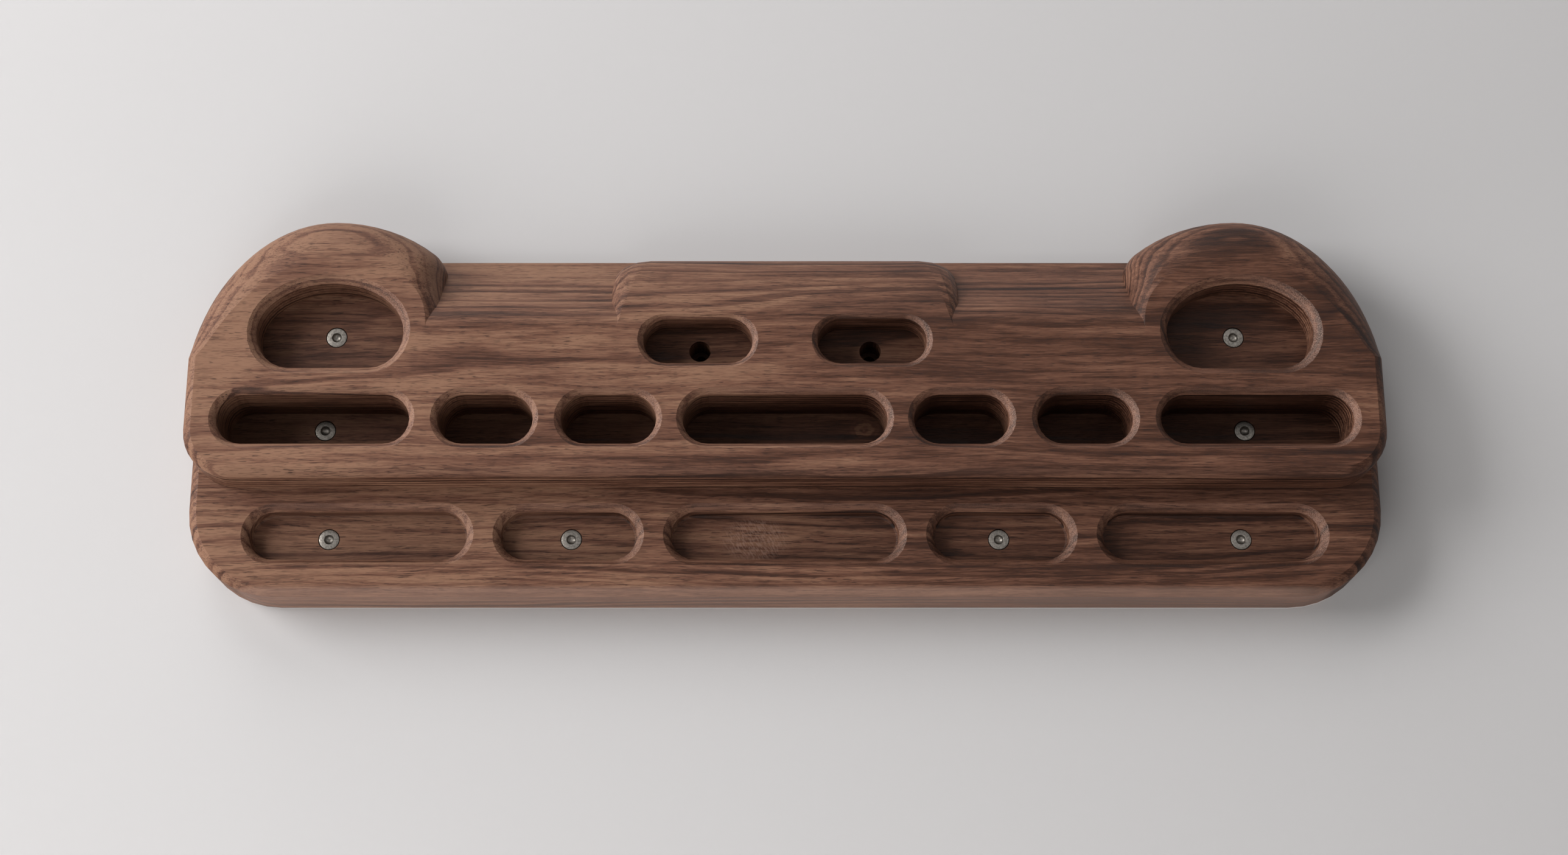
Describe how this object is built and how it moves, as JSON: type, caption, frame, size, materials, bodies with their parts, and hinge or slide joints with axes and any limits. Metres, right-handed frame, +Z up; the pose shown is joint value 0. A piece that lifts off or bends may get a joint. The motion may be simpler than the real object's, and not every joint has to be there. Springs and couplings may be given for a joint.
{
  "type": "hangboard",
  "caption": "Wall-mounted wooden climbing hangboard with rounded jugs, slopers, deep finger slots, shallow edges and small pockets, held by countersunk steel screws.",
  "frame": {"origin": "middle of the flat wall face, half way up the board", "axes": "+X along the board to the climber's right, +Y into the wall, +Z up"},
  "size_m": [0.61, 0.096, 0.202],
  "materials": {
    "walnut_back": "fine-sanded, matte oiled",
    "walnut_front": "fine-sanded, matte oiled",
    "steel": "bright zinc-plated, satin"
  },
  "bodies": {
    "root": {"back_board": "walnut_back", "front_board": "walnut_front", "screw_arch_pocket_left": "steel", "screw_end_slot_left": "steel", "screw_low_outer_left": "steel", "screw_low_inner_left": "steel", "screw_arch_pocket_right": "steel", "screw_end_slot_right": "steel", "screw_low_outer_right": "steel", "screw_low_inner_right": "steel"}
  },
  "joints": []
}
